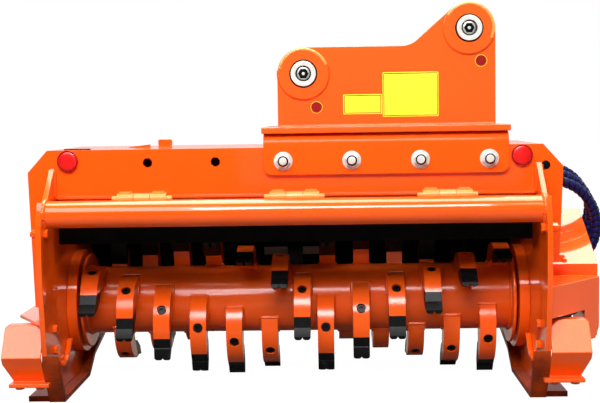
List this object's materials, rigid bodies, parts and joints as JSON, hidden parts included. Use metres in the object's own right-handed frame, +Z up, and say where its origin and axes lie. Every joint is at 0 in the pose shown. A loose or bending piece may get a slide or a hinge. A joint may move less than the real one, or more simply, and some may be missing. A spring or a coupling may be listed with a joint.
{
  "type": "excavator mulcher head",
  "caption": "Forestry mulching head with a toothed rotor in an open chamber, a push bar, a hinged front flap, a bolt-on two-pin hitch and a side-mounted hydraulic motor.",
  "frame": {"origin": "bottom centre of the head's box, on the floor that the skids stand on", "axes": "+X along the rotor to the motor side, +Y from the open front to the rear, +Z up"},
  "size_m": [1.427, 0.582, 0.92],
  "materials": {
    "orange_paint": "gloss enamel",
    "black_steel": "blackened steel",
    "tooth_steel": "black hardened steel",
    "zinc": "bright zinc",
    "red_lens": "clear reflector",
    "hose_cover": "spiral guard",
    "motor_black": "satin black"
  },
  "bodies": {
    "frame": {"side_plate_left": "orange_paint", "side_plate_right": "orange_paint", "front_panel": "orange_paint", "top_plate": "orange_paint", "rear_panel": "orange_paint", "hood_shell": "orange_paint", "hood_liner": "black_steel", "counter_blade": "black_steel", "push_bar": "orange_paint", "hinge_brackets": "orange_paint", "hinge_pins": "orange_paint", "hitch_saddle": "orange_paint", "hitch_base": "orange_paint", "ear_front": "orange_paint", "ear_rear": "orange_paint", "stick_pin": "zinc", "link_pin": "zinc", "hitch_bolts": "zinc", "skid_left": "orange_paint", "skid_right": "orange_paint", "nose_left": "orange_paint", "nose_right": "orange_paint", "shelf_left": "orange_paint", "side_lugs": "orange_paint", "side_bolts": "orange_paint", "wrap_ring_left": "orange_paint", "wrap_ring_right": "orange_paint", "bearing_left": "orange_paint", "bearing_right": "orange_paint", "motor": "motor_black", "motor_guard": "orange_paint", "hose_pressure": "hose_cover", "hose_return": "hose_cover", "hose_drain": "hose_cover", "hose_bulkheads": "zinc", "coupler_nipples": "zinc", "reflectors": "red_lens"},
    "rotor": {"rotor_drum": "orange_paint", "rotor_ends": "orange_paint", "rotor_teeth": "tooth_steel"},
    "flap": {"front_flap": "black_steel"}
  },
  "joints": [
    {"name": "rotor_spin", "type": "hinge", "parent": "frame", "child": "rotor", "pos_m": [-0.0265, 0.058, 0.196], "axis": [1, 0, 0], "continuous": true},
    {"name": "flap_swing", "type": "hinge", "parent": "frame", "child": "flap", "pos_m": [-0.0265, -0.1665, 0.47], "axis": [1, 0, 0], "range_deg": [-35, 60]}
  ]
}
